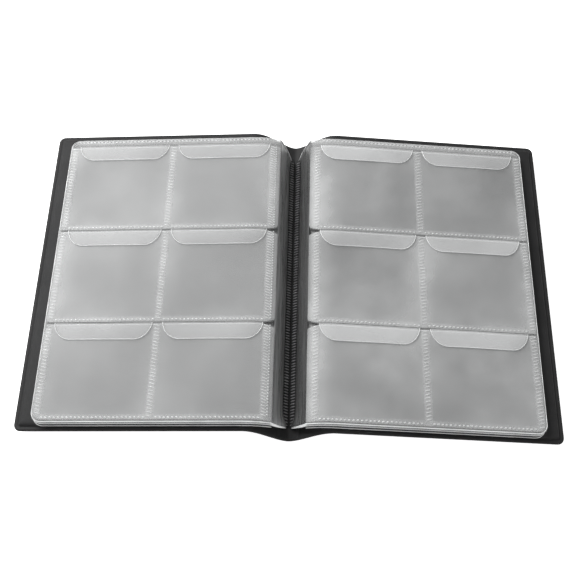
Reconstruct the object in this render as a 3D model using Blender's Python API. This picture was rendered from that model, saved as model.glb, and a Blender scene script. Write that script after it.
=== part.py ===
"""Open coin album: flexible cover, welded spine and two stacks of hinged pocket leaves."""
import math

import bmesh
import bpy
from mathutils import Vector

MM = 0.001
NAME = "coin_album"

# cover, open on its spine
HALF_WIDTH = 137.0
HALF_HEIGHT = 90.0
CORNER = 3.0
RIDGE_X = 22.6
RIDGE_Z = 13.2
EDGE_Z = 4.7
SLOPE = math.atan((RIDGE_Z - EDGE_Z) / (HALF_WIDTH - RIDGE_X))
COVER_RUN = (HALF_WIDTH - RIDGE_X) / math.cos(SLOPE)
GAP = 0.3
SKIN = 0.5
BOARD = 1.2
LINING = 0.4
RIM = 3.0
LINING_INSET = 0.6
PAD = SKIN + GAP + BOARD + GAP + LINING

# spine and binding
SPINE_HALF = 6.0
SPINE_CORNER = 1.0
BAND_HALF = 3.6
BAND_LOW = SKIN + GAP
BAND_TOP = 2.6
BAND_CREASE = 1.5
BAND_NEAR = -85.0
BAND_FAR = 82.6
BAND_POINT = 2.5
NOTCH_MARGIN = 1.0
WEB_FOOT_GAP = 0.7
WEB_HEAD_GAP = 0.3
ROOT_FOOT_X = 3.4
ROOT_FOOT_Z = BAND_TOP + GAP
ROOT_TOP_X = 6.1
ROOT_TOP_Z = 16.2
ROOT_THICK = 1.5

# cover hinge: where a closing cover turns about
PIVOT_X = 12.05
PIVOT_Z = 10.93

# leaves
LEAVES = 5
FILM = 0.15
LEAF_PITCH = 2 * (FILM + GAP)
LEAF_HINGE_X = 6.5
LEAF_START = 0.5
LEAF_EDGE_X = 127.6
LEAF_NEAR = -87.0
LEAF_FAR = 82.8
LEAF_CORNER = 5.0
POCKET_START = 2.5
POCKET_EDGE_INSET = 0.8
POCKET_CORNER = 4.4

# pocket rows and flaps
ROWS = 3
ROW_PITCH = 55.8
FIRST_OPENING = 77.2
MOUTH_GAP = 0.4
SEAM_HALF = 2.1
SEAMS_X = (12.4, 68.6, 124.8)
FLAP_DROP = 9.4
FLAP_TAPER = 3.6
FLAP_CORNER = 4.0
FLAP_CORNER_SWEEP = 80
FLAP_SIDE_GAP = 1.6
FLAP_HINGE_RISE = 1.0
ARC_STEPS = 4
WELD_DISTANCE = 0.01
EMPTY_SIZE = 10.0

# material colours and roughness
BLACK = (0.045, 0.045, 0.047, 1.0)
DARK = (0.023, 0.023, 0.025, 1.0)
GREY_BOARD = (0.24, 0.22, 0.19, 1.0)
SMOKE = (0.30, 0.31, 0.32, 0.55)
CLEAR = (0.62, 0.64, 0.66, 0.45)
FLAP_TINT = (0.72, 0.74, 0.76, 0.5)
ROUGH_SKIN = 0.55
ROUGH_LINING = 0.6
ROUGH_BOARD = 0.9
ROUGH_BAND = 0.5
ROUGH_FILM = 0.2
ROUGH_ROOT = 0.25


def collection(name):
    made = bpy.data.collections.new(name)
    bpy.context.scene.collection.children.link(made)
    return made


def start():
    for ob in list(bpy.data.objects):
        bpy.data.objects.remove(ob, do_unlink=True)
    return collection(NAME), collection(NAME + "_cutters")


def material(name, colour, roughness):
    mat = bpy.data.materials.new(name)
    mat.use_nodes = True
    shader = mat.node_tree.nodes["Principled BSDF"]
    shader.inputs["Base Color"].default_value = colour[:3] + (1.0,)
    shader.inputs["Alpha"].default_value = colour[3]
    shader.inputs["Roughness"].default_value = roughness
    mat.diffuse_color = colour
    return mat


def dress(ob, colour, roughness):
    ob.data.materials.append(material(ob.name + "_material", colour, roughness))


def arc(centre, radius, first, last):
    """Points along an arc in degrees, both ends included."""
    points = []
    for step in range(ARC_STEPS + 1):
        angle = math.radians(first + (last - first) * step / ARC_STEPS)
        points.append((centre[0] + radius * math.cos(angle), centre[1] + radius * math.sin(angle)))
    return points


def rounded(x0, x1, y0, y1, outer, inner=0.0):
    """Rectangle from x0 (inner end) to x1 (outer end), its outer corners rounded."""
    points = []
    if inner:
        points += arc((x0 + inner, y0 + inner), inner, 180, 270)
    else:
        points.append((x0, y0))
    points += arc((x1 - outer, y0 + outer), outer, 270, 360)
    points += arc((x1 - outer, y1 - outer), outer, 0, 90)
    if inner:
        points += arc((x0 + inner, y1 - inner), inner, 90, 180)
    else:
        points.append((x0, y1))
    return points


def flat_curve(name, points, depth, side=1):
    """A filled flat outline, extruded to the given depth about its own plane."""
    data = bpy.data.curves.new(name, "CURVE")
    data.dimensions = "2D"
    data.fill_mode = "BOTH"
    data.extrude = depth * MM / 2
    spline = data.splines.new("POLY")
    spline.points.add(len(points) - 1)
    for spot, (x, y) in zip(spline.points, points):
        spot.co = (side * x * MM, y * MM, 0.0, 1.0)
    spline.use_cyclic_u = True
    return bpy.data.objects.new(name, data)


def as_mesh(ob, name):
    """The same shape as a welded mesh object."""
    bpy.context.scene.collection.objects.link(ob)
    bpy.context.view_layer.update()
    depsgraph = bpy.context.evaluated_depsgraph_get()
    mesh = bpy.data.meshes.new_from_object(ob.evaluated_get(depsgraph))
    bpy.data.objects.remove(ob, do_unlink=True)
    work = bmesh.new()
    work.from_mesh(mesh)
    bmesh.ops.remove_doubles(work, verts=work.verts, dist=WELD_DISTANCE * MM)
    bmesh.ops.recalc_face_normals(work, faces=work.faces)
    work.to_mesh(mesh)
    work.free()
    return bpy.data.objects.new(name, mesh)


def plate(group, name, points, low, high, side, parent, origin=(0.0, 0.0)):
    """A flat sheet from height low to high in its parent's plane."""
    shifted = [(x - origin[0], y - origin[1]) for x, y in points]
    ob = as_mesh(flat_curve(name, shifted, high - low, side), name)
    ob.location = Vector((side * origin[0], origin[1], (low + high) / 2)) * MM
    ob.parent = parent
    group.objects.link(ob)
    return ob


def strip(group, name, profile, near, far, side=1, parent=None):
    """A profile in x and z, run along y from near to far."""
    ob = as_mesh(flat_curve(name, profile, far - near, side), name)
    ob.rotation_euler = (math.pi / 2, 0.0, 0.0)
    ob.location = Vector((0.0, (near + far) / 2, 0.0)) * MM
    ob.parent = parent
    group.objects.link(ob)
    return ob


def empty(group, name, place, parent=None, turn=0.0):
    ob = bpy.data.objects.new(name, None)
    ob.empty_display_size = EMPTY_SIZE * MM
    ob.location = Vector(place) * MM
    ob.rotation_euler = (0.0, turn, 0.0)
    ob.parent = parent
    group.objects.link(ob)
    return ob


def cut(target, cutter, name):
    step = target.modifiers.new(name, "BOOLEAN")
    step.operation = "DIFFERENCE"
    step.solver = "EXACT"
    step.object = cutter
    cutter.hide_render = True
    cutter.display_type = "WIRE"


def sloped(start_at, end_at, thickness):
    """A four-sided profile of even thickness above the line between two points."""
    run = Vector(end_at) - Vector(start_at)
    lift = Vector((-run.y, run.x)).normalized() * thickness
    return [
        tuple(start_at),
        tuple(end_at),
        tuple(Vector(end_at) + lift),
        tuple(Vector(start_at) + lift),
    ]


def spine(group, cutters):
    outline = rounded(-SPINE_HALF, SPINE_HALF, -HALF_HEIGHT, HALF_HEIGHT, SPINE_CORNER, SPINE_CORNER)
    skin = plate(group, "spine_outer_skin", outline, 0.0, SKIN, 1, None)
    dress(skin, BLACK, ROUGH_SKIN)
    top = [(BAND_HALF, BAND_LOW), (BAND_HALF, BAND_TOP), (0.0, BAND_CREASE), (-BAND_HALF, BAND_TOP)]
    band = strip(group, "binding_band", [(-BAND_HALF, BAND_LOW)] + top, BAND_NEAR, BAND_FAR)
    dress(band, DARK, ROUGH_BAND)
    for end, sign in ((BAND_NEAR, 1), (BAND_FAR, -1)):
        reach = BAND_HALF + NOTCH_MARGIN
        outside = end - sign * NOTCH_MARGIN
        notch = [(-reach, outside), (reach, outside), (0.0, end + sign * BAND_POINT)]
        label = "band_notch_near" if sign > 0 else "band_notch_far"
        cutter = plate(cutters, label, notch, 0.0, 2 * BAND_TOP, 1, None)
        cut(band, cutter, label)


def web(group, side, word):
    """Flexible ramp of the cover between the flat spine and one cover."""
    low = (SPINE_HALF + WEB_FOOT_GAP, 0.0)
    high = (RIDGE_X - WEB_HEAD_GAP, RIDGE_Z - WEB_HEAD_GAP)
    ramp = strip(group, word + "_hinge_web", sloped(low, high, SKIN), -HALF_HEIGHT, HALF_HEIGHT, side)
    dress(ramp, BLACK, ROUGH_SKIN)


def roots(group, side, word):
    """Bundle of the leaves' welded film roots, standing beside the band."""
    low = (ROOT_FOOT_X, ROOT_FOOT_Z)
    high = (ROOT_TOP_X, ROOT_TOP_Z)
    wall = strip(group, word + "_leaf_roots", sloped(low, high, ROOT_THICK), BAND_NEAR, BAND_FAR, side)
    dress(wall, SMOKE, ROUGH_ROOT)


def cover(group, cutters, side, word, plane):
    """Outer skin with a raised rim, stiffener board inside and lining over it."""
    outline = rounded(0.0, COVER_RUN, -HALF_HEIGHT, HALF_HEIGHT, CORNER)
    rim_top = SKIN + GAP + BOARD
    skin = plate(group, word + "_outer_skin", outline, 0.0, rim_top, side, plane)
    bay = rounded(RIM, COVER_RUN - RIM, RIM - HALF_HEIGHT, HALF_HEIGHT - RIM, CORNER, CORNER)
    cutter = plate(cutters, word + "_board_bay", bay, SKIN, 2 * rim_top, side, plane)
    cut(skin, cutter, "board_bay")
    dress(skin, BLACK, ROUGH_SKIN)
    inset = RIM + GAP
    flat = rounded(inset, COVER_RUN - inset, inset - HALF_HEIGHT, HALF_HEIGHT - inset, CORNER, CORNER)
    board = plate(group, word + "_board", flat, SKIN + GAP, rim_top, side, plane)
    dress(board, GREY_BOARD, ROUGH_BOARD)
    edge = HALF_HEIGHT - LINING_INSET
    sheet = rounded(LINING_INSET, COVER_RUN - LINING_INSET, -edge, edge, CORNER)
    lining = plate(group, word + "_lining", sheet, PAD - LINING, PAD, side, plane)
    dress(lining, BLACK, ROUGH_LINING)


def along(x):
    """Distance in the cover's plane from its ridge to a point at width x."""
    return (x - RIDGE_X) / math.cos(SLOPE)


def flap(group, side, name, left, right, opening, low, hinge):
    """Closing flap of one pocket, hanging from its hinge line down over the pocket front."""
    centre = (left + right) / 2
    half = (right - left) / 2
    base = half - FLAP_TAPER
    lower = arc((base - FLAP_CORNER, FLAP_CORNER - FLAP_DROP), FLAP_CORNER, 270, 270 + FLAP_CORNER_SWEEP)
    outline = [(-half, -MOUTH_GAP / 2)] + [(-x, y) for x, y in reversed(lower)]
    outline += lower + [(half, -MOUTH_GAP / 2)]
    placed = [(x + centre, y + opening + FLAP_HINGE_RISE) for x, y in outline]
    origin = (centre, opening + FLAP_HINGE_RISE)
    piece = plate(group, name, placed, low, low + FILM, side, hinge, origin)
    dress(piece, FLAP_TINT, ROUGH_FILM)


def top_leaf(group, side, word, hinge, start_x):
    """Pocket fronts in three rows and their six flaps, on the uppermost leaf."""
    low = FILM + GAP
    far_end = along(LEAF_EDGE_X) - start_x - POCKET_EDGE_INSET
    for row in range(ROWS):
        opening = FIRST_OPENING - row * ROW_PITCH
        bottom = opening - ROW_PITCH + MOUTH_GAP
        rim = POCKET_CORNER if row == ROWS - 1 else MOUTH_GAP
        bottom = max(bottom, LEAF_NEAR + POCKET_EDGE_INSET)
        outline = rounded(POCKET_START, far_end, bottom, opening, rim)
        front = plate(group, f"{word}_pocket_row_{row + 1}", outline, low, low + FILM, side, hinge)
        dress(front, CLEAR, ROUGH_FILM)
        for column in range(2):
            inset = SEAM_HALF + FLAP_SIDE_GAP
            left = along(SEAMS_X[column]) - start_x + inset
            right = along(SEAMS_X[column + 1]) - start_x - inset
            label = f"{word}_flap_{row + 1}_{'inner' if column == 0 else 'outer'}"
            flap(group, side, label, left, right, opening, 2 * low, hinge)


def leaf(group, side, word, plane, number):
    """One leaf: a backing film on its own hinge line, with its pocket fronts."""
    start_x = along(LEAF_HINGE_X)
    height = PAD + GAP + (number - 1) * LEAF_PITCH
    hinge = empty(group, f"{word}_leaf_{number}_hinge", (side * start_x, 0.0, height), plane)
    end_x = along(LEAF_EDGE_X) - start_x
    outline = rounded(LEAF_START, end_x, LEAF_NEAR, LEAF_FAR, LEAF_CORNER)
    film = plate(group, f"{word}_leaf_{number}_film", outline, 0.0, FILM, side, hinge)
    dress(film, CLEAR, ROUGH_FILM)
    if number == LEAVES:
        top_leaf(group, side, word, hinge, start_x)
        return
    low = FILM + GAP
    near = LEAF_NEAR + POCKET_EDGE_INSET
    fronts = rounded(POCKET_START, end_x - POCKET_EDGE_INSET, near, FIRST_OPENING, POCKET_CORNER)
    panel = plate(group, f"{word}_leaf_{number}_pockets", fronts, low, low + FILM, side, hinge)
    dress(panel, CLEAR, ROUGH_FILM)


def build():
    group, cutters = start()
    spine(group, cutters)
    for side, word in ((-1, "front"), (1, "back")):
        web(group, side, word)
        roots(group, side, word)
        pivot = empty(group, word + "_cover_pivot", (side * PIVOT_X, 0.0, PIVOT_Z))
        offset = (side * (RIDGE_X - PIVOT_X), 0.0, RIDGE_Z - PIVOT_Z)
        plane = empty(group, word + "_cover_plane", offset, pivot, side * SLOPE)
        cover(group, cutters, side, word, plane)
        for number in range(1, LEAVES + 1):
            leaf(group, side, word, plane, number)
    bpy.context.view_layer.update()


build()
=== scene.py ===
"""Looks of the open coin album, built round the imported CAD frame."""

import math
import random

import bmesh
import bpy
import numpy as np
from mathutils import Matrix, Vector


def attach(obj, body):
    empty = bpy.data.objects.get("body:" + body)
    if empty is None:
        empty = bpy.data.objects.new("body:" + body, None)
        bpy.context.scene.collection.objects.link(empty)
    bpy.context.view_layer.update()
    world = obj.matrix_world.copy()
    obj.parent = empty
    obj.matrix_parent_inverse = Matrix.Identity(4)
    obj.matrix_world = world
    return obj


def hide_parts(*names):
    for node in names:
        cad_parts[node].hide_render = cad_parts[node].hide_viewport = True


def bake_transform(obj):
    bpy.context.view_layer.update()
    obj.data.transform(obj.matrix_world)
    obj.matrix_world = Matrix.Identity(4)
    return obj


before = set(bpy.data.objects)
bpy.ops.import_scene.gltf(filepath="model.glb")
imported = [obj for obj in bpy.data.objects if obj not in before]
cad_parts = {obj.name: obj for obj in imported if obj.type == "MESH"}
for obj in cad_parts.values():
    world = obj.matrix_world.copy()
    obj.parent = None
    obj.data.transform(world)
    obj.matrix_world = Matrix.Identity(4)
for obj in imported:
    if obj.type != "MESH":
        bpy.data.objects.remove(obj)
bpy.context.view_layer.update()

MM = 0.001
WORDS = {-1: "front", 1: "back"}
dice = random.Random(11)

# cover, in millimetres
HALF_WIDTH = 137.0
HALF_HEIGHT = 90.0
CORNER = 3.6
RIDGE_X = 22.6
RIDGE_Z = 13.2
EDGE_Z = 4.7
TILT = math.atan((RIDGE_Z - EDGE_Z) / (HALF_WIDTH - RIDGE_X))
RUN = (HALF_WIDTH - RIDGE_X) / math.cos(TILT)
PAD = 2.7
SHEET = 1.2
SPINE_HALF = 6.0
FOOT_HALF = 0.5

# binding band
BAND_HALF = 3.6
BAND_NEAR = -85.0
BAND_FAR = 82.6
BAR_PITCH = 1.6

# leaves
LEAVES = 5
PITCH = 0.9
FILM = 0.12
EDGE_BEAD = 0.14
LEAF_IN = 8.4
LEAF_OUT = 127.6
LEAF_NEAR = -87.0
LEAF_FAR = 82.8
LEAF_CORNER = 5.0
DRAPE_END = 24.0
BEND_END = 14.2
SAG = 2.4
NOTCH_DEPTH = 6.4
SLIP = 0.25

# pockets and flaps
ROW_PITCH = 55.8
FIRST_OPENING = 77.2
OPENINGS = tuple(round(FIRST_OPENING - row * ROW_PITCH, 1) for row in range(3))
SEAMS = (12.4, 68.6, 124.8)
SEAM_HALF = 2.1
POCKET_INSET = 0.8
POCKET_CORNER = 4.4
FRONT_LIFT = 0.45
FLAP_LIFT = 0.9
FLAP_RISE = 1.0
FLAP_DROP = 9.6
DASH_PITCH = 2.1


def smooth(t):
    t = np.clip(t, 0.0, 1.0)
    return t * t * (3 - 2 * t)


# ---------------------------------------------------------------- materials


def new_material(name):
    mat = bpy.data.materials.new(name)
    mat.use_nodes = True
    nodes = mat.node_tree.nodes
    nodes.clear()
    return mat, nodes, mat.node_tree.links.new


def noise(nodes, link, scale, detail=3.0, stretch=(1, 1, 1)):
    """Cloudy noise fixed to the object."""
    place = nodes.new("ShaderNodeTexCoord")
    mapping = nodes.new("ShaderNodeMapping")
    mapping.inputs["Scale"].default_value = stretch
    texture = nodes.new("ShaderNodeTexNoise")
    texture.inputs["Scale"].default_value = scale
    texture.inputs["Detail"].default_value = detail
    link(place.outputs["Object"], mapping.inputs["Vector"])
    link(mapping.outputs["Vector"], texture.inputs["Vector"])
    return texture.outputs["Fac"]


def ramp(nodes, link, source, low, high, start=0.3, end=0.7):
    """The source's stretch from start to end, spread from low to high."""
    made = nodes.new("ShaderNodeMapRange")
    made.inputs["From Min"].default_value = start
    made.inputs["From Max"].default_value = end
    made.inputs["To Min"].default_value = low
    made.inputs["To Max"].default_value = high
    link(source, made.inputs["Value"])
    return made.outputs["Result"]


def grey(nodes, link, source, tint=(1.0, 1.0, 1.0)):
    """A scalar as a slightly tinted colour."""
    scale = nodes.new("ShaderNodeVectorMath")
    scale.operation = "SCALE"
    scale.inputs[0].default_value = tint
    link(source, scale.inputs["Scale"])
    return scale.outputs["Vector"]


def bump(nodes, link, source, strength, distance):
    made = nodes.new("ShaderNodeBump")
    made.inputs["Strength"].default_value = strength
    made.inputs["Distance"].default_value = distance * MM
    link(source, made.inputs["Height"])
    return made.outputs["Normal"]


def solid(name, low, high, rough, grain, grain_depth, tint=(1.0, 1.0, 1.02)):
    """Opaque matt surface, its grey between low and high, with a fine grain of the given scale and depth."""
    mat, nodes, link = new_material(name)
    shader = nodes.new("ShaderNodeBsdfPrincipled")
    out = nodes.new("ShaderNodeOutputMaterial")
    broad = noise(nodes, link, 60.0, 4.0)
    link(grey(nodes, link, ramp(nodes, link, broad, low, high), tint), shader.inputs["Base Color"])
    fine = noise(nodes, link, grain, 2.0)
    link(ramp(nodes, link, fine, rough - 0.08, rough + 0.08), shader.inputs["Roughness"])
    shader.inputs["Specular IOR Level"].default_value = 0.16
    link(bump(nodes, link, fine, 0.6, grain_depth), shader.inputs["Normal"])
    link(shader.outputs[0], out.inputs["Surface"])
    return mat


def calc(nodes, link, operation, *inputs):
    """A maths node; each input is a number or another node's output."""
    made = nodes.new("ShaderNodeMath")
    made.operation = operation
    for socket, value in zip(made.inputs, inputs):
        if isinstance(value, float):
            socket.default_value = value
        else:
            link(value, socket)
    return made.outputs[0]


def near_weld(nodes, link, reach=12.0):
    """1 beside the welds and mouths of a leaf, easing to 0 inside each pocket: the mask of the painted
    highlight beside the welds.
    """
    place = nodes.new("ShaderNodeTexCoord")
    split = nodes.new("ShaderNodeSeparateXYZ")
    link(place.outputs["Object"], split.inputs[0])
    width = calc(nodes, link, "ABSOLUTE", split.outputs["X"])
    shares = []
    grid = ((width, SEAMS[0], SEAMS[1] - SEAMS[0]), (split.outputs["Y"], OPENINGS[0], ROW_PITCH))
    for value, first, pitch in grid:
        offset = calc(nodes, link, "SUBTRACT", value, first * MM)
        away = calc(nodes, link, "PINGPONG", offset, pitch / 2 * MM)
        shares.append(ramp(nodes, link, away, 1.0, 0.0, 0.0, reach * MM))
    most = calc(nodes, link, "MAXIMUM", *shares)
    return calc(nodes, link, "POWER", most, 1.5)


def film(
    name,
    haze,
    shade,
    rough=0.16,
    streak=(1, 1, 1),
    vary=0.25,
    scale=14.0,
    coat=0.5,
    swing=0.06,
    edge=0.0,
    wavy=True,
):
    """Clear sheet: haze of the light is scattered in a grey shade, the rest passes, and it shines.

    Haze and shade drift together in cloudy patches, by the shares vary and swing, and rise by edge beside
    the welds; that rise is a painted highlight where the bulging film catches the light.
    """
    mat, nodes, link = new_material(name)
    clear = nodes.new("ShaderNodeBsdfTransparent")
    body = nodes.new("ShaderNodeBsdfPrincipled")
    mix = nodes.new("ShaderNodeMixShader")
    out = nodes.new("ShaderNodeOutputMaterial")
    cloud = noise(nodes, link, scale, 3.0, streak)
    cover = ramp(nodes, link, cloud, haze * (1 - vary), haze * (1 + vary))
    light = ramp(nodes, link, cloud, shade * (1 - swing), min(1.0, shade * (1 + swing)))
    if edge:
        rise = calc(nodes, link, "MULTIPLY", near_weld(nodes, link), edge)
        cover = calc(nodes, link, "ADD", cover, rise)
        light = calc(nodes, link, "ADD", light, rise)
    link(cover, mix.inputs["Fac"])
    link(grey(nodes, link, light, (0.99, 1.0, 1.0)), body.inputs["Base Color"])
    body.inputs["Roughness"].default_value = rough
    body.inputs["Specular IOR Level"].default_value = coat
    if wavy:
        ripple = noise(nodes, link, 35.0, 1.0, streak)
        link(bump(nodes, link, ripple, 0.1, 0.4), body.inputs["Normal"])
    link(clear.outputs[0], mix.inputs[1])
    link(body.outputs[0], mix.inputs[2])
    link(mix.outputs[0], out.inputs["Surface"])
    return mat


LEATHER = solid("cover_grain", 0.017, 0.024, 0.62, 1500.0, 0.06)
BOARD = solid("grey_board", 0.18, 0.28, 0.85, 300.0, 0.2, tint=(1.0, 0.93, 0.82))
BAND = solid("band_weld", 0.01, 0.018, 0.6, 700.0, 0.1)
# The bars are coloured far lighter than the black band they are pressed into: painted highlights on the
# bars.
BAR = solid("band_bar", 0.15, 0.26, 0.3, 700.0, 0.06)
# Lit and shaded copies of one pocket film. The back half's is painted darker (painted shade). The cloudy
# patches are partly painted reflections, and edge adds a painted highlight beside the welds.
FRONTS = {
    -1: film("pocket_film_front_lit", 0.25, 0.46, 0.28, vary=0.4, scale=20.0, coat=0.1, swing=0.12, edge=0.09),
    1: film("pocket_film_back_shaded", 0.24, 0.42, 0.28, vary=0.6, scale=24.0, coat=0.1, swing=0.25, edge=0.07),
}
BACKING = film("backing_film", 0.2, 0.43, 0.28, vary=0.15, coat=0.1)
LOWER = film("lower_film", 0.16, 0.42, 0.3, vary=0.15, coat=0.15)
# Lit and shaded copies of one flap film: the front half's is painted darker where the key light falls, and
# the back half's lighter (painted shade and light).
FLAPS = {
    -1: film("flap_film_front_shaded", 0.14, 0.66, 0.22, vary=0.3, coat=0.15),
    1: film("flap_film_back_lit", 0.18, 0.76, 0.22, vary=0.3, coat=0.15),
}
SEAM = film("weld_film", 0.07, 0.8, 0.25, vary=0.35, scale=120.0, coat=0.3, wavy=False)
WELD = film("weld_bead", 0.34, 0.9, 0.14, vary=0.15, scale=120.0, wavy=False)
DASH = film("weld_dash", 0.4, 0.95, 0.12, vary=0.3, scale=90.0, coat=0.6, wavy=False)
# Near-white beads along film edges, pocket lips, flap edges and root ends: painted highlights where the thin
# edges catch the light.
EDGE_HIGHLIGHT = film("film_edge_highlight", 0.75, 0.98, 0.12, vary=0.2, scale=60.0, wavy=False)
# Lit and shaded copies of one gutter film: the front half's wall faces away from the key light and is
# painted lighter (painted light), and the back half's is darker.
WALLS = {
    -1: film("gutter_film_front_lit", 0.6, 0.36, 0.28, streak=(9, 0.5, 9), vary=0.6, scale=60.0, coat=0.4),
    1: film("gutter_film_back_shaded", 0.55, 0.1, 0.28, streak=(9, 0.5, 9), vary=0.6, scale=60.0, coat=0.4),
}

# ---------------------------------------------------------------- meshes


def make(name, points, faces, mat):
    """A smooth-shaded mesh object from points in millimetres."""
    mesh = bpy.data.meshes.new(name)
    mesh.from_pydata([tuple(p) for p in np.asarray(points) * MM], [], faces)
    mesh.update()
    mesh.materials.append(mat)
    mesh.shade_smooth()
    ob = bpy.data.objects.new(name, mesh)
    bpy.context.scene.collection.objects.link(ob)
    return ob


def grid_faces(rows, columns, first=0):
    """Quads of a grid whose points run column by column within each row."""
    faces = []
    for i in range(rows - 1):
        for j in range(columns - 1):
            a = first + i * columns + j
            faces.append((a, a + 1, a + columns + 1, a + columns))
    return faces


def thick_sheet(name, upper, lower, mat):
    """A closed sheet from two matching grids of points, shape (rows, columns, 3)."""
    rows, columns = upper.shape[:2]
    count = rows * columns
    points = np.concatenate([upper.reshape(-1, 3), lower.reshape(-1, 3)])
    faces = grid_faces(rows, columns)
    faces += [f[::-1] for f in grid_faces(rows, columns, count)]
    ring = [(0, j) for j in range(columns)]
    ring += [(i, columns - 1) for i in range(1, rows)]
    ring += [(rows - 1, j) for j in range(columns - 2, -1, -1)]
    ring += [(i, 0) for i in range(rows - 2, 0, -1)]
    flat = [i * columns + j for i, j in ring]
    for a, b in zip(flat, flat[1:] + flat[:1]):
        faces.append((b, a, a + count, b + count))
    ob = make(name, points, faces, mat)
    for polygon in ob.data.polygons[-len(flat):]:
        polygon.use_smooth = False
    return ob


def tube_parts(path, radius, sides, first):
    """Points and faces of a round bead along a path, its faces counted from first."""
    path = np.asarray(path, float)
    count = len(path)
    ahead = np.gradient(path, axis=0)
    ahead /= np.linalg.norm(ahead, axis=1)[:, None]
    across = np.cross(ahead, (0, 0, 1.0))
    across /= np.linalg.norm(across, axis=1)[:, None]
    up = np.cross(across, ahead)
    turn = np.arange(sides) * 2 * math.pi / sides
    side_part = np.cos(turn)[None, :, None] * across[:, None]
    up_part = np.sin(turn)[None, :, None] * up[:, None]
    rings = path[:, None] + radius * (side_part + up_part)
    faces = []
    for i in range(count - 1):
        a, b = first + i * sides, first + (i + 1) * sides
        for j in range(sides):
            m = (j + 1) % sides
            faces.append((a + j, b + j, b + m, a + m))
    faces.append(tuple(range(first, first + sides)))
    faces.append(tuple(range(first + count * sides - 1, first + (count - 1) * sides - 1, -1)))
    return rings.reshape(-1, 3), faces


def tubes(name, paths, radius, mat, sides=6):
    """Round beads along several paths, as one object."""
    points, faces, first = [], [], 0
    for path in paths:
        more, quads = tube_parts(path, radius, sides, first)
        points.append(more)
        faces += quads
        first += len(more)
    return make(name, np.concatenate(points), faces, mat)


def joined(name, parts):
    """Several meshes of one material as one object."""
    work = bmesh.new()
    for part in parts:
        work.from_mesh(part.data)
    mesh = parts[0].data.copy()
    mesh.name = name
    work.to_mesh(mesh)
    work.free()
    for part in parts:
        bpy.data.objects.remove(part, do_unlink=True)
    ob = bpy.data.objects.new(name, mesh)
    bpy.context.scene.collection.objects.link(ob)
    return ob


def beads(name, spots, mat, rings=4, sides=6):
    """Many small rounded bars. Each spot is a centre and three half vectors: length, width, height."""
    points, faces = [], []
    for centre, run, width, rise in spots:
        first = len(points)
        points.append(centre - run)
        for i in range(1, rings):
            lift = math.pi * i / rings
            for j in range(sides):
                turn = 2 * math.pi * j / sides
                belt = math.sin(lift) ** 0.5
                points.append(
                    centre
                    - math.cos(lift) * run
                    + belt * (math.cos(turn) * width + math.sin(turn) * rise)
                )
        points.append(centre + run)
        last = len(points) - 1
        for j in range(sides):
            m = (j + 1) % sides
            faces.append((first, first + 1 + m, first + 1 + j))
            for i in range(rings - 2):
                a = first + 1 + i * sides
                faces.append((a + j, a + m, a + sides + m, a + sides + j))
            a = first + 1 + (rings - 2) * sides
            faces.append((last, a + j, a + m))
    return make(name, points, faces, mat)


# ---------------------------------------------------------------- cover


def plane_z(x):
    """Height of a cover's underside at width x."""
    return RIDGE_Z - (x - RIDGE_X) * math.tan(TILT)


def under_z(x):
    """Height of the flexible part's underside: narrow flat foot, then a curved ramp to the ridge."""
    t = np.clip((x - FOOT_HALF) / (RIDGE_X - FOOT_HALF), 0.0, 1.0)
    return RIDGE_Z * (0.6 * smooth(t) + 0.4 * np.sin(t * math.pi / 2) ** 1.25)


def cover_point(side, along, y, height):
    """A point in a cover's tilted plane, along from its ridge."""
    x = RIDGE_X + along * math.cos(TILT) + height * math.sin(TILT)
    z = RIDGE_Z - along * math.sin(TILT) + height * math.cos(TILT)
    return (side * x, y, z)


def ring_outline(inset, radius, steps=6):
    """Rounded rectangle of a cover panel at an inset from its edge; the ridge end hardly moves."""
    x0 = min(inset, 1.5) * 0.2
    x1 = RUN - inset
    y1 = HALF_HEIGHT - inset
    r = max(radius - inset, 0.4)
    points = [(x0, -y1)]
    for centre, first in (((x1 - r, r - y1), -90), ((x1 - r, y1 - r), 0)):
        for k in range(steps + 1):
            angle = math.radians(first + 90 * k / steps)
            points.append((centre[0] + r * math.cos(angle), centre[1] + r * math.sin(angle)))
    points.append((x0, y1))
    return points


def dress(node, mat):
    """A CAD node that stays takes a procedural material."""
    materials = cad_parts[node].data.materials
    materials.clear()
    materials.append(mat)


def panel(side):
    """Padded cover panel with its welded rim, as nested rings of inset and height, underside first."""
    word = WORDS[side]
    under = ((5, 0), (2.8, 0), (2.4, 0.16), (2.0, 0.16), (1.6, 0), (1.0, 0))
    edge = ((0.35, 0.15), (0, 0.55), (0.1, 0.95), (0.5, 1.25), (1.0, 1.3), (1.8, 1.3))
    pillow = ((2.1, 1.12), (2.4, 1.16), (2.75, 1.9), (3.05, 2.4), (3.6, 2.62), (4.6, PAD), (8, PAD))
    rings = under + edge + pillow
    points = []
    for inset, height in rings:
        points += [cover_point(side, a, y, height) for a, y in ring_outline(inset, CORNER)]
    count = len(ring_outline(0, CORNER))
    faces = []
    for i in range(len(rings) - 1):
        for j in range(count):
            k = (j + 1) % count
            a, b = i * count, (i + 1) * count
            quad = (a + j, a + k, b + k, b + j)
            faces.append(quad if side > 0 else quad[::-1])
    bottom = tuple(range(count))
    top = tuple(range((len(rings) - 1) * count, len(rings) * count))
    faces.append(bottom[::-1] if side > 0 else bottom)
    faces.append(top if side > 0 else top[::-1])
    ob = make(word + "_cover_shell", points, faces, LEATHER)
    for polygon in ob.data.polygons[-2:]:
        polygon.use_smooth = False
    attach(ob, word + "_cover")
    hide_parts(word + "_outer_skin", word + "_lining")
    dress(word + "_board", BOARD)


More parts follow.
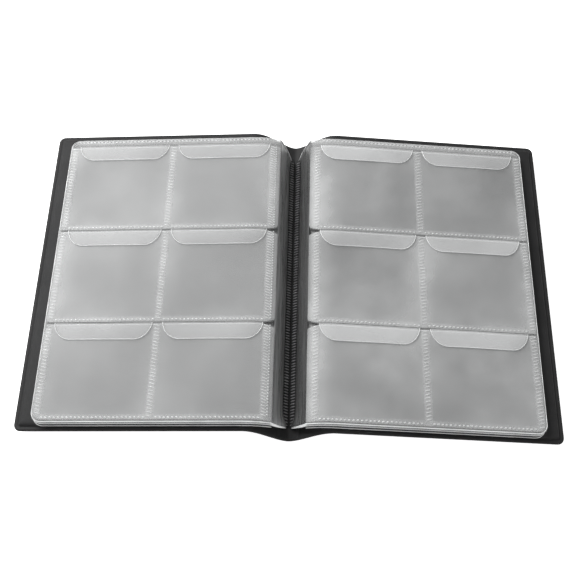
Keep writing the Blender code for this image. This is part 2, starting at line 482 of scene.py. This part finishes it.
def flexible(name, xs):
    """A stretch of the flexible sheet between two widths, its long ends rounded over."""
    end = np.array([0.0, 0.1, 0.5, 1.1, 2.0]) - HALF_HEIGHT
    ys = np.concatenate([end, np.linspace(-80, 80, 17), -end[::-1]])
    pinch = np.clip(1 - (HALF_HEIGHT - np.abs(ys)) / 1.0, 0, 1) ** 2 * SHEET * 0.45
    low = under_z(np.abs(xs))
    upper = np.zeros((len(ys), len(xs), 3))
    lower = np.zeros_like(upper)
    slope = np.gradient(low, xs)
    nx = -slope / np.sqrt(1 + slope**2)
    nz = 1 / np.sqrt(1 + slope**2)
    for i, y in enumerate(ys):
        upper[i, :, 0] = xs + nx * (SHEET - pinch[i])
        upper[i, :, 2] = low + nz * (SHEET - pinch[i])
        lower[i, :, 0] = xs + nx * pinch[i]
        lower[i, :, 2] = low + nz * pinch[i]
        upper[i, :, 1] = y
        lower[i, :, 1] = y
    return thick_sheet(name, upper, lower, LEATHER)


def spine():
    """Flat middle of the cover, and the folds that join it to both panels."""
    ob = flexible("spine_shell", np.linspace(-SPINE_HALF, SPINE_HALF, 13))
    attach(ob, "spine")
    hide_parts("spine_outer_skin")
    for side, word in WORDS.items():
        xs = np.linspace(SPINE_HALF, RIDGE_X + 0.6, 26) * side
        web = flexible(word + "_hinge_fold", xs if side > 0 else xs[::-1])
        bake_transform(web)
        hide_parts(word + "_hinge_web")


def band():
    """The knurled weld: the CAD band under two columns of short pressed bars, coloured lighter than the band
    as painted highlights.
    """
    dress("binding_band", BAND)
    spots = []
    for side in (-1, 1):
        y = BAND_NEAR + 3.2
        while y < BAND_FAR - 3.0:
            lean = dice.uniform(-0.06, 0.06)
            centre = np.array([side * 1.75, y + dice.uniform(-0.08, 0.08), 2.18])
            run = np.array([side * 1.3, 0.28 + lean, 0.42])
            spots.append((centre, run, np.array([0, 0.42, 0]), np.array([0, 0, 0.45])))
            y += BAR_PITCH
    ob = beads("band_bars", spots, BAR)
    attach(ob, "spine")


# ---------------------------------------------------------------- leaves


def drop(x, number):
    """How far a leaf sags into the gutter at width x."""
    sag = SAG + 0.1 * (number - 1)
    reach = np.clip((DRAPE_END - x) / (DRAPE_END - LEAF_IN), 0.0, 1.0)
    return sag * reach**2.4


def leaf_z(x, number, lift):
    """Height of a sheet at width x, lifted above its leaf's backing film."""
    return plane_z(x) + (PAD + 0.3 + (number - 1) * PITCH + lift) / math.cos(TILT) - drop(x, number)


def notch(y, number):
    """Depth of the small notch at the inner seam beside each lower pocket mouth, in the upper leaves."""
    cut = np.zeros_like(y)
    if number < 3:
        return cut
    for opening in OPENINGS[1:]:
        cut = np.maximum(cut, np.clip(1 - np.abs(y - opening - 0.9) / 2.3, 0, 1) * NOTCH_DEPTH)
    return cut


def corner_inset(y, near, far, radius):
    """How far the outer edge draws in at a rounded corner."""
    gap = np.clip(radius - np.minimum(y - near, far - y), 0, radius)
    return radius - np.sqrt(np.maximum(radius**2 - gap**2, 0))


def leaf_rows(near, far, step):
    """Grid rows along y: close together at the rounded ends and at the notches."""
    ends = [near + d for d in (0.0, 0.1, 0.35, 0.8, 1.5, 2.6, 4.0)]
    middle = list(np.linspace(near + 5.5, far - 5.5, max(3, int((far - near - 11) / step) + 1)))
    marks = []
    for opening in OPENINGS[1:]:
        marks += [opening + 0.9 + d for d in (-2.1, -1.0, 0.0, 1.0, 2.1)]
    rows = ends + middle + [far - (e - near) for e in ends]
    rows += [m for m in marks if near + 1 < m < far - 1]
    return np.array(sorted(set(round(r, 3) for r in rows)))


def leaf_columns(count):
    """Grid columns across a leaf as shares of its width, closer together where it drapes."""
    inner = np.linspace(0, 0.13, 9)
    return np.concatenate([inner, np.linspace(0.13, 1.0, count)[1:]])


def leaf_sheet(
    name, side, number, near, far, lift, mat, bulge=None, radius=LEAF_CORNER, inset=0.0, step=7.0, count=18
):
    """A draped sheet of film on one leaf, optionally puffed by a height function of x and y."""
    ys = leaf_rows(near, far, step)
    us = leaf_columns(count)
    x0 = LEAF_IN + notch(ys, number)
    x1 = LEAF_OUT - inset - corner_inset(ys, near, far, radius)
    xs = x0[:, None] + (x1 - x0)[:, None] * us[None, :]
    yy = np.repeat(ys[:, None], len(us), 1)
    zz = leaf_z(xs, number, lift)
    if bulge is not None:
        zz = zz + bulge(xs, yy)
    upper = np.stack([side * xs, yy, zz + FILM], 2)
    lower = np.stack([side * xs, yy, zz], 2)
    if side < 0:
        upper, lower = upper[:, ::-1], lower[:, ::-1]
    return thick_sheet(name, upper, lower, mat)


def hang(ob):
    """Bakes the sheet's placement into its mesh, leaving it on no body."""
    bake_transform(ob)


def leaf_edge(name, side, number, lift, near, far, radius, inset):
    """Painted highlight along a leaf's edge, as a thin near-white bead: along its near side, outer side and
    far side.
    """
    path = []
    xs = list(np.linspace(BEND_END, LEAF_OUT - inset - radius, 24))
    path += [(x, near) for x in xs]
    for cy, first in ((near + radius, -90), (far - radius, 0)):
        for k in range(1, 9):
            angle = math.radians(first + 90 * k / 8)
            cx = LEAF_OUT - inset - radius
            path.append((cx + radius * math.cos(angle), cy + radius * math.sin(angle)))
    path += [(x, far) for x in xs[::-1]]
    points = [(side * x, y, leaf_z(x, number, lift) + FILM / 2) for x, y in path]
    ob = tubes(name, [points], EDGE_BEAD, EDGE_HIGHLIGHT)
    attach(ob, f"{WORDS[side]}_leaf_{number}")
    inner = np.linspace(LEAF_IN, BEND_END, 7)
    ends = [[(side * x, y, leaf_z(x, number, lift) + FILM / 2) for x in inner] for y in (near, far)]
    hang(tubes(name + "_bend", ends, EDGE_BEAD, EDGE_HIGHLIGHT))


def puff_seed(side, k):
    """Each pocket row has its own ripples, which its flaps share."""
    return 5 + k + (side > 0) * 7


def puff(seed):
    """Height of a pocket front over its welds: a soft pillow with a few lazy ripples."""
    rng = random.Random(seed)
    waves = [(rng.uniform(0.02, 0.09), rng.uniform(-0.07, 0.07), rng.uniform(0, 6.3)) for _ in range(5)]

    def height(x, y):
        total = np.zeros_like(x)
        for left, right in zip(SEAMS, SEAMS[1:]):
            for opening in OPENINGS:
                u = (x - left - SEAM_HALF) / (right - left - 2 * SEAM_HALF)
                v = (opening - y) / (ROW_PITCH - 5.0)
                inside = (u > 0) & (u < 1) & (v > 0) & (v < 1)
                u, v = np.clip(u, 0, 1), np.clip(v, 0, 1)
                pillow = np.sin(math.pi * u) ** 0.6 * np.sin(math.pi * np.clip(v * 0.93 + 0.07, 0, 1)) ** 0.6
                total = np.where(inside, 0.45 * pillow, total)
        ripple = sum(np.sin(a * x * 2.2 + b * y * 2.2 + c) for a, b, c in waves) / len(waves)
        return total * (1 + 0.5 * ripple)

    return height


def bars_on_leaf(side, strokes):
    """Knurls on the top leaf. Each stroke is (x, y, half length, lean, half width)."""
    spots = []
    for x, y, run, lean, width in strokes:
        here = leaf_z(x, LEAVES, FRONT_LIFT)
        slope = leaf_z(x + 0.5, LEAVES, FRONT_LIFT) - leaf_z(x - 0.5, LEAVES, FRONT_LIFT)
        centre = np.array([side * x, y, here + FILM + 0.14])
        along = np.array([side * run, lean * run, slope * run])
        spots.append((centre, along, np.array([0, width, 0]), np.array([0, 0, 0.3])))
    return spots


def seam_strokes(side):
    """Leaning strokes down the three upright welds, with a chain of bright beads on the front half's inner
    one as a painted highlight.
    """
    strokes = []
    for seam in SEAMS:
        chain = side < 0 and seam == SEAMS[0]
        pitch = 1.6 if chain else 1.9
        for opening in OPENINGS:
            y = opening - 0.8
            foot = row_foot(opening) + 1.6
            while y > foot:
                strokes.append((seam + dice.uniform(-0.1, 0.1), y, 1.5, 0.3, 0.32))
                if chain:
                    strokes.append((seam - 1.75, y + 0.4, 0.45, 0.1, 0.5))
                y -= pitch * dice.uniform(0.95, 1.05)
    return strokes


def foot_strokes():
    """Dashes along the foot of every pocket and along the leaf's far margin."""
    strokes = []
    for left, right in zip(SEAMS, SEAMS[1:]):
        for opening in OPENINGS:
            x = left + 2.6
            while x < right - 2.0:
                strokes.append((x, row_foot(opening) + 1.2 + dice.uniform(-0.1, 0.1), 0.6, 0.25, 0.42))
                x += DASH_PITCH * dice.uniform(0.95, 1.05)
    x = BEND_END + 1.5
    while x < SEAMS[2]:
        strokes.append((x, LEAF_FAR - 1.7, 0.6, 0.2, 0.32))
        x += DASH_PITCH
    return strokes


def row_foot(opening):
    """Lower end of the pocket front below a mouth."""
    return max(opening - ROW_PITCH + 1.5, LEAF_NEAR + 0.7)


def rows_of_top_leaf(side):
    """Pocket fronts, mouths, knurls and weld bands of the uppermost leaf."""
    word = WORDS[side]
    for k, opening in enumerate(OPENINGS):
        near = row_foot(opening)
        radius = POCKET_CORNER if k == 2 else POCKET_INSET
        name = f"{word}_pocket_front_{k + 1}"
        shape = puff(puff_seed(side, k))
        mat = FRONTS[side]
        inset = POCKET_INSET
        detail = {"step": 2.6, "count": 60}
        ob = leaf_sheet(name, side, LEAVES, near, opening, FRONT_LIFT, mat, shape, radius, inset, **detail)
        hang(ob)
        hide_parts(f"{word}_pocket_row_{k + 1}")
        xs = np.linspace(BEND_END, LEAF_OUT - 1.4, 90)
        lift = shape(xs, np.full_like(xs, opening - 0.05))
        path = [(side * x, opening, leaf_z(x, LEAVES, FRONT_LIFT) + h + FILM / 2) for x, h in zip(xs, lift)]
        # The lip is a near-white bead along the mouth: a painted highlight.
        lip = tubes(f"{word}_pocket_lip_{k + 1}", [path], EDGE_BEAD, EDGE_HIGHLIGHT)
        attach(lip, f"{word}_leaf_{LEAVES}")
    hang(beads(word + "_weld_knurls", bars_on_leaf(side, seam_strokes(side)), WELD))
    hang(beads(word + "_weld_dashes", bars_on_leaf(side, foot_strokes()), DASH))
    bands = []
    for seam in SEAMS:
        for opening in OPENINGS:
            bands.append((seam - SEAM_HALF, seam + SEAM_HALF, row_foot(opening) + 0.2, opening - 0.2))
    for opening in OPENINGS:
        bands.append((SEAMS[0], SEAMS[2], row_foot(opening) + 0.3, row_foot(opening) + 3.0))
    bands.append((LEAF_IN + 0.4, SEAMS[2], OPENINGS[0] + 1.8, LEAF_FAR - 0.4))
    strips = [weld_strip(f"{word}_weld_{index}", side, *edges) for index, edges in enumerate(bands)]
    hang(joined(word + "_weld_bands", strips))


def weld_strip(name, side, x0, x1, y0, y1):
    """The flattened, whiter film under one line of knurls."""
    across = max(5, int((x1 - x0) / 2.5))
    xx, yy = np.meshgrid(np.linspace(x0, x1, across), np.linspace(y0, y1, max(4, int((y1 - y0) / 3))))
    zz = leaf_z(xx, LEAVES, FRONT_LIFT) + FILM + 0.03
    upper = np.stack([side * xx, yy, zz + 0.06], 2)
    lower = np.stack([side * xx, yy, zz], 2)
    if side < 0:
        upper, lower = upper[:, ::-1], lower[:, ::-1]
    return thick_sheet(name, upper, lower, SEAM)


def flap_half(t, half):
    """Half width of a flap at share t of its drop: near-straight sides into broad round corners."""
    return half - 1.2 * t - 7.5 * (1 - np.sqrt(np.maximum(1 - t**2.2, 0)))


def flap_grid(side, k, column):
    """Points of a flap's underside: rows down its drop, columns across, following the pocket below."""
    left, right = SEAMS[column] + SEAM_HALF + 0.6, SEAMS[column + 1] - SEAM_HALF - 0.6
    if column == 0:
        left = BEND_END + 0.2
    centre, half = (left + right) / 2, (right - left) / 2
    share = np.sin(np.linspace(0, math.pi / 2, 14))
    ys = OPENINGS[k] + FLAP_RISE + (-0.1 - FLAP_DROP * share)
    us = np.linspace(-1, 1, 33)
    xs = centre + flap_half(share, half)[:, None] * us[None, :]
    yy = np.repeat(ys[:, None], len(us), 1)
    curl = 0.08 + 0.2 * share[:, None] * (1 - 0.5 * us[None, :] ** 2)
    ride_up = puff(puff_seed(side, k))(xs, yy)
    return xs, yy, leaf_z(xs, LEAVES, FLAP_LIFT) + curl + ride_up


def flap_rim(side, xs, yy, zz):
    """Path round a flap's free edge, down one side, along its end and up the other."""
    last_row, last_column = xs.shape[0] - 1, xs.shape[1] - 1
    spots = [(i, 0) for i in range(last_row + 1)]
    spots += [(last_row, j) for j in range(1, last_column)]
    spots += [(i, last_column) for i in range(last_row, -1, -1)]
    return np.array([(side * xs[at], yy[at], zz[at] + FILM / 2) for at in spots])


def flap(side, k, column):
    """A flap lies over its pocket's front, following the leaf's shape, with a near-white bead along its edge
    as a painted highlight.
    """
    word = WORDS[side]
    cw = "inner" if column == 0 else "outer"
    xs, yy, zz = flap_grid(side, k, column)
    upper = np.stack([side * xs, yy, zz + FILM], 2)
    lower = np.stack([side * xs, yy, zz], 2)
    if side > 0:
        upper, lower = upper[:, ::-1], lower[:, ::-1]
    ob = thick_sheet(f"{word}_flap_film_{k + 1}_{cw}", upper, lower, FLAPS[side])
    node = f"{word}_flap_{k + 1}_{cw}"
    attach(ob, node)
    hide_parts(node)
    edge = tubes(f"{word}_flap_edge_{k + 1}_{cw}", [flap_rim(side, xs, yy, zz)], 0.13, EDGE_HIGHLIGHT)
    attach(edge, node)


def leaves(side):
    """The stack of leaves on one half, the uppermost with separate pockets and flaps."""
    word = WORDS[side]
    for number in range(1, LEAVES + 1):
        node = f"{word}_leaf_{number}_film"
        slip = SLIP * (LEAVES - number) * (1 if number % 2 else -0.4)
        near, far = LEAF_NEAR - slip, LEAF_FAR - 0.3 * slip
        radius, inset = LEAF_CORNER + 0.5 * slip, 0.3 * slip
        mat = BACKING if number == LEAVES else LOWER
        name = f"{word}_backing_{number}"
        ob = leaf_sheet(name, side, number, near, far, 0.0, mat, None, radius, inset)
        hang(ob)
        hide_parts(node)
        leaf_edge(f"{word}_leaf_edge_{number}", side, number, 0.0, near, far, radius, inset)
        if number < LEAVES:
            node = f"{word}_leaf_{number}_pockets"
            name = f"{word}_pockets_{number}"
            near += POCKET_INSET
            radius, inset = POCKET_CORNER + 0.2, POCKET_INSET
            ob = leaf_sheet(name, side, number, near, OPENINGS[0], FRONT_LIFT, LOWER, None, radius, inset)
            hang(ob)
            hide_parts(node)
    rows_of_top_leaf(side)
    for k in range(3):
        for column in range(2):
            flap(side, k, column)


def root_grid(number, ys):
    """One film root on the x > 0 half: rows along y, columns from the weld up to the leaf."""
    t = np.linspace(0, 1, 14)
    foot_x, foot_z = BAND_HALF + 0.1 - 0.12 * number, 2.35 + 0.1 * number
    head_z = leaf_z(LEAF_IN, number, 0.0)
    xs = foot_x + (LEAF_IN - foot_x) * (0.65 * t + 0.35 * t**2.4)
    zs = foot_z + (head_z - foot_z) * (1.15 * t - 0.15 * t**2)
    sway = 0.16 * np.sin(ys * 0.11 + number)[:, None] * np.sin(math.pi * t)[None, :]
    towards_foot = ((1 - t) ** 1.5)[None, :]
    close_in = 0.6 * foot_x * smooth((np.abs(ys) - 79) / 7)[:, None] * towards_foot
    draw = 3.2 * towards_foot * np.sign(ys)[:, None] * smooth((np.abs(ys) - 60) / 22)[:, None]
    xx = np.repeat(xs[None, :], len(ys), 0) + sway - close_in
    yy = np.repeat(ys[:, None], len(t), 1) - draw
    zz = np.repeat(zs[None, :], len(ys), 0)
    return xx, yy, zz


def gutter(side):
    """Films of all the leaves fanning up from the weld to their inner edges. The front half's are painted
    lighter than the back's (painted light and shade), and near-white beads along their ends are painted
    highlights.
    """
    word = WORDS[side]
    ys = np.linspace(LEAF_NEAR + 0.1, LEAF_FAR - 0.1, 60)
    for number in range(1, LEAVES + 1):
        xx, yy, zz = root_grid(number, ys)
        upper = np.stack([side * (xx - 0.05), yy, zz], 2)
        lower = np.stack([side * (xx + 0.05), yy, zz], 2)
        if side < 0:
            upper, lower = upper[:, ::-1], lower[:, ::-1]
        root = thick_sheet(f"{word}_film_root_{number}", upper, lower, WALLS[side])
        tail_x = LEAF_IN + 0.6
        ends = []
        for row in (0, -1):
            tail = (side * tail_x, ys[row], leaf_z(tail_x, number, 0.0))
            ends.append([(side * x, y, z) for x, y, z in zip(xx[row], yy[row], zz[row])] + [tail])
        edge = tubes(f"{word}_root_edge_{number}", ends, 0.2, EDGE_HIGHLIGHT)
        for ob in (root, edge):
            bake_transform(ob)
        if number == 1:
            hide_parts(word + "_leaf_roots")


# ---------------------------------------------------------------- stage


def aim(ob, place, target, roll=0.0):
    """Places a camera or light and points it at a target."""
    ob.location = place
    turn = (Vector(target) - Vector(place)).to_track_quat("-Z", "Y").to_matrix()
    ob.rotation_euler = (turn @ Matrix.Rotation(roll, 3, "Z")).to_euler()
    bpy.context.scene.collection.objects.link(ob)
    return ob


def area(name, place, target, size, power):
    data = bpy.data.lights.new(name, "AREA")
    data.shape = "RECTANGLE"
    data.size, data.size_y = size
    data.energy = power
    aim(bpy.data.objects.new(name, data), place, target)


def studio():
    """Soft light, a backdrop that is white to the camera, and a pale floor that glows a little."""
    world = bpy.data.worlds.new("studio")
    world.use_nodes = True
    world.node_tree.nodes["Background"].inputs["Color"].default_value = (1.0, 1.0, 1.0, 1.0)
    link = world.node_tree.links.new
    path = world.node_tree.nodes.new("ShaderNodeLightPath")
    seen = ramp(world.node_tree.nodes, link, path.outputs["Is Camera Ray"], 0.38, 1.0, 0.0, 1.0)
    link(seen, world.node_tree.nodes["Background"].inputs["Strength"])
    bpy.context.scene.world = world
    area("key", (-0.52, 0.4, 0.68), (0.0, 0, 0), (0.6, 0.5), 12.5)
    area("fill", (0.3, -0.5, 0.9), (0, 0, 0), (0.6, 0.6), 1.5)
    mat, nodes, link = new_material("pale_floor")
    shader = nodes.new("ShaderNodeBsdfPrincipled")
    out = nodes.new("ShaderNodeOutputMaterial")
    tone = ramp(nodes, link, noise(nodes, link, 3.0), 0.93, 0.97)
    link(grey(nodes, link, tone), shader.inputs["Base Color"])
    shader.inputs["Roughness"].default_value = 0.8
    shader.inputs["Emission Color"].default_value = (1.0, 1.0, 1.0, 1.0)
    shader.inputs["Emission Strength"].default_value = 0.85
    link(shader.outputs[0], out.inputs["Surface"])
    reach, low = 3000.0, -0.3
    corners = [(-reach, -reach, low), (reach, -reach, low), (reach, reach, low), (-reach, reach, low)]
    make("floor", corners, [(0, 1, 2, 3)], mat)


def camera():
    """Camera at the view's elevation and azimuth, with a slight roll, looking at the album's middle."""
    data = bpy.data.cameras.new("camera")
    data.sensor_width = 36.0
    data.lens = 62.7
    elevation, azimuth, roll = math.radians(61.8), math.radians(0.8), math.radians(0.66)
    distance = 0.5385
    target = Vector((-0.0022, -0.0052, 0.005))
    level = Vector((math.sin(azimuth), -math.cos(azimuth), 0.0)) * math.cos(elevation)
    back = level + Vector((0.0, 0.0, math.sin(elevation)))
    ob = aim(bpy.data.objects.new("camera", data), target + back * distance, target, roll)
    bpy.context.scene.camera = ob
    cycles = bpy.context.scene.cycles
    cycles.transparent_max_bounces = 48
    cycles.max_bounces = 6
    bpy.context.scene.view_settings.view_transform = "Standard"


for side in (-1, 1):
    panel(side)
    leaves(side)
    gutter(side)
spine()
band()
studio()
camera()
